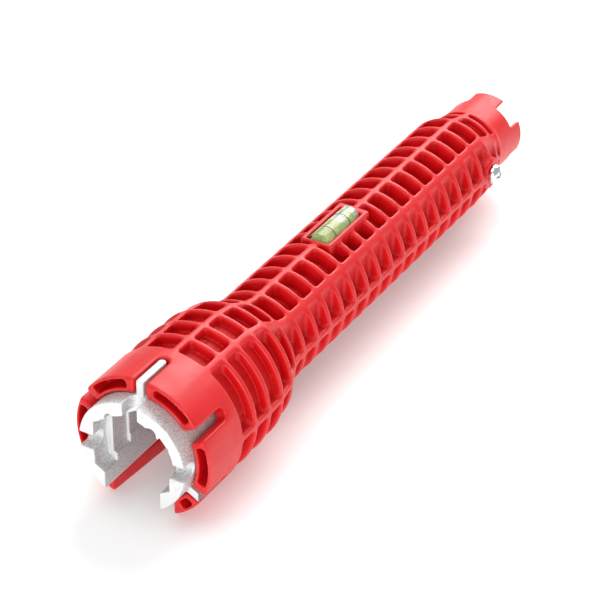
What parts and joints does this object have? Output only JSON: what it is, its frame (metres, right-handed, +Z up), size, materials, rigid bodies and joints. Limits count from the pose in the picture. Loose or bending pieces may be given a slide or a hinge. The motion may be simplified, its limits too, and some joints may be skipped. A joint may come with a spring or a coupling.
{
  "type": "basin wrench",
  "caption": "Hollow ribbed two-ended sink wrench with a side opening, a stepped metal jaw insert in the big head, a notched small end and a level vial.",
  "frame": {"origin": "middle of the bounding box at its lowest level, with the tool lying level and its open side down", "axes": "+X along the tool from the big head to the small notched end, +Z up through the level vial, +Y to the left of the big head as seen from its front"},
  "size_m": [0.2854, 0.059, 0.0566],
  "materials": {
    "moulding": "satin moulded nylon",
    "cast_metal": "fine blasted casting, no polish",
    "socket_metal": "fine blasted casting, no polish",
    "screw_metal": "bright plated",
    "vial_shell": "clear acrylic",
    "vial_fluid": "clear yellow-green liquid",
    "vial_plug": "clear acrylic",
    "ink": "black printed line"
  },
  "bodies": {
    "body": {"body": "moulding", "tail_socket": "socket_metal", "socket_screw": "screw_metal", "vial_tube": "vial_shell", "vial_fluid": "vial_fluid", "vial_end_plug": "vial_plug", "index_ring_front": "ink", "index_ring_rear": "ink"},
    "jaw_insert": {"jaw_insert": "cast_metal"}
  },
  "joints": [
    {"name": "jaw_insert_slide", "type": "slide", "parent": "body", "child": "jaw_insert", "axis": [-1, 0, 0], "range_m": [0, 0.03]}
  ]
}
